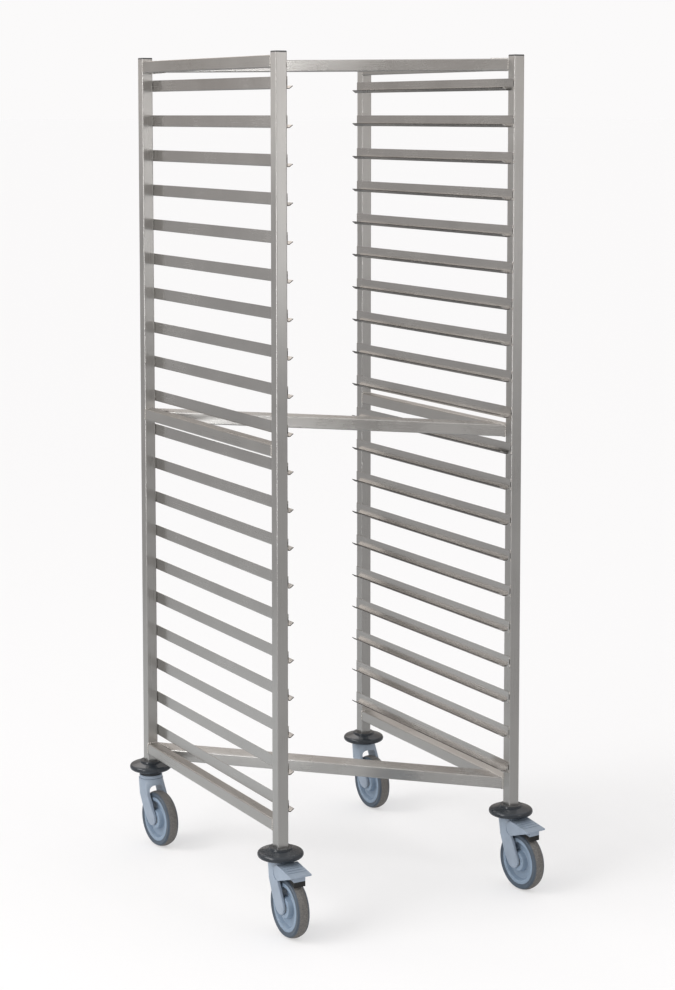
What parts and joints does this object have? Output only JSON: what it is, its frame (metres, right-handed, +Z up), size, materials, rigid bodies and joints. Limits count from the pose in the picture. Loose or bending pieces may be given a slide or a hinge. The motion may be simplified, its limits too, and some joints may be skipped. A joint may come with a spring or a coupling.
{
  "type": "tray trolley",
  "caption": "Tall nesting tray trolley: welded square-tube frame, Z-shaped in plan, with pairs of folded tray slides, on swivel casters, the front ones with foot brakes.",
  "frame": {"origin": "on the floor, under the middle of the whole trolley's outer box", "axes": "+X to the right along the width, -Y towards the loading side, +Z up"},
  "size_m": [0.658, 0.787, 1.786],
  "materials": {
    "stainless": "satin",
    "cap_plastic": "matt",
    "bumper_rubber": "semi-gloss",
    "housing_plastic": "satin",
    "rim_plastic": "satin",
    "tyre_rubber": "matt",
    "shoe_rubber": "matt",
    "zinc_steel": "zinc plated"
  },
  "bodies": {
    "frame": {"bottom_diagonal": "stainless", "bumper_front_left": "bumper_rubber", "bumper_front_right": "bumper_rubber", "bumper_rear_left": "bumper_rubber", "bumper_rear_right": "bumper_rubber", "left_bottom_rail": "stainless", "left_mid_rail": "stainless", "left_slides": "stainless", "left_top_rail": "stainless", "mid_diagonal": "stainless", "neck_seals": "bumper_rubber", "right_bottom_rail": "stainless", "right_mid_rail": "stainless", "right_slides": "stainless", "right_top_rail": "stainless", "stem_expanders": "zinc_steel", "stem_front_left": "zinc_steel", "stem_front_right": "zinc_steel", "stem_rear_left": "zinc_steel", "stem_rear_right": "zinc_steel", "swivel_cap_front_left": "housing_plastic", "swivel_cap_front_right": "housing_plastic", "swivel_cap_rear_left": "housing_plastic", "swivel_cap_rear_right": "housing_plastic", "top_diagonal": "stainless", "upright_caps": "cap_plastic", "upright_front_left": "stainless", "upright_front_right": "stainless", "upright_rear_left": "stainless", "upright_rear_right": "stainless"},
    "caster_front_left": {"fork_front_left": "housing_plastic", "swivel_bearing_front_left": "zinc_steel", "axle_front_left": "zinc_steel", "pedal_pins_front_left": "zinc_steel"},
    "wheel_front_left": {"wheel_centre_front_left": "rim_plastic", "tyre_front_left": "tyre_rubber", "wheel_bearings_front_left": "zinc_steel"},
    "caster_front_right": {"fork_front_right": "housing_plastic", "swivel_bearing_front_right": "zinc_steel", "axle_front_right": "zinc_steel", "pedal_pins_front_right": "zinc_steel"},
    "wheel_front_right": {"wheel_centre_front_right": "rim_plastic", "tyre_front_right": "tyre_rubber", "wheel_bearings_front_right": "zinc_steel"},
    "caster_rear_left": {"fork_rear_left": "housing_plastic", "swivel_bearing_rear_left": "zinc_steel", "axle_rear_left": "zinc_steel"},
    "wheel_rear_left": {"wheel_centre_rear_left": "rim_plastic", "tyre_rear_left": "tyre_rubber", "wheel_bearings_rear_left": "zinc_steel"},
    "caster_rear_right": {"fork_rear_right": "housing_plastic", "swivel_bearing_rear_right": "zinc_steel", "axle_rear_right": "zinc_steel"},
    "wheel_rear_right": {"wheel_centre_rear_right": "rim_plastic", "tyre_rear_right": "tyre_rubber", "wheel_bearings_rear_right": "zinc_steel"},
    "brake_front_left": {"brake_pedal_front_left": "housing_plastic", "brake_shoe_front_left": "shoe_rubber"},
    "brake_front_right": {"brake_pedal_front_right": "housing_plastic", "brake_shoe_front_right": "shoe_rubber"}
  },
  "joints": [
    {"name": "swivel_front_left", "type": "hinge", "parent": "frame", "child": "caster_front_left", "pos_m": [-0.2815, -0.291, 0.15], "axis": [0, 0, 1], "continuous": true},
    {"name": "wheel_spin_front_left", "type": "hinge", "parent": "caster_front_left", "child": "wheel_front_left", "pos_m": [-0.28115, -0.331, 0.0625], "axis": [1, 0.0087, 0], "continuous": true},
    {"name": "swivel_front_right", "type": "hinge", "parent": "frame", "child": "caster_front_right", "pos_m": [0.2815, -0.291, 0.15], "axis": [0, 0, 1], "continuous": true},
    {"name": "wheel_spin_front_right", "type": "hinge", "parent": "caster_front_right", "child": "wheel_front_right", "pos_m": [0.28499, -0.33085, 0.0625], "axis": [0.9962, 0.0872, 0], "continuous": true},
    {"name": "swivel_rear_left", "type": "hinge", "parent": "frame", "child": "caster_rear_left", "pos_m": [-0.2815, 0.346, 0.15], "axis": [0, 0, 1], "continuous": true},
    {"name": "wheel_spin_rear_left", "type": "hinge", "parent": "caster_rear_left", "child": "wheel_rear_left", "pos_m": [-0.27732, 0.30622, 0.0625], "axis": [0.9945, 0.1045, 0], "continuous": true},
    {"name": "swivel_rear_right", "type": "hinge", "parent": "frame", "child": "caster_rear_right", "pos_m": [0.2815, 0.346, 0.15], "axis": [0, 0, 1], "continuous": true},
    {"name": "wheel_spin_rear_right", "type": "hinge", "parent": "caster_rear_right", "child": "wheel_rear_right", "pos_m": [0.2822, 0.30601, 0.0625], "axis": [0.9998, 0.0175, 0], "continuous": true},
    {"name": "brake_pedal_front_left", "type": "hinge", "parent": "caster_front_left", "child": "brake_front_left", "pos_m": [-0.28124, -0.321, 0.133], "axis": [1, 0.0087, 0], "range_deg": [0, 5]},
    {"name": "brake_pedal_front_right", "type": "hinge", "parent": "caster_front_right", "child": "brake_front_right", "pos_m": [0.28412, -0.32089, 0.133], "axis": [0.9962, 0.0872, 0], "range_deg": [0, 5]}
  ]
}
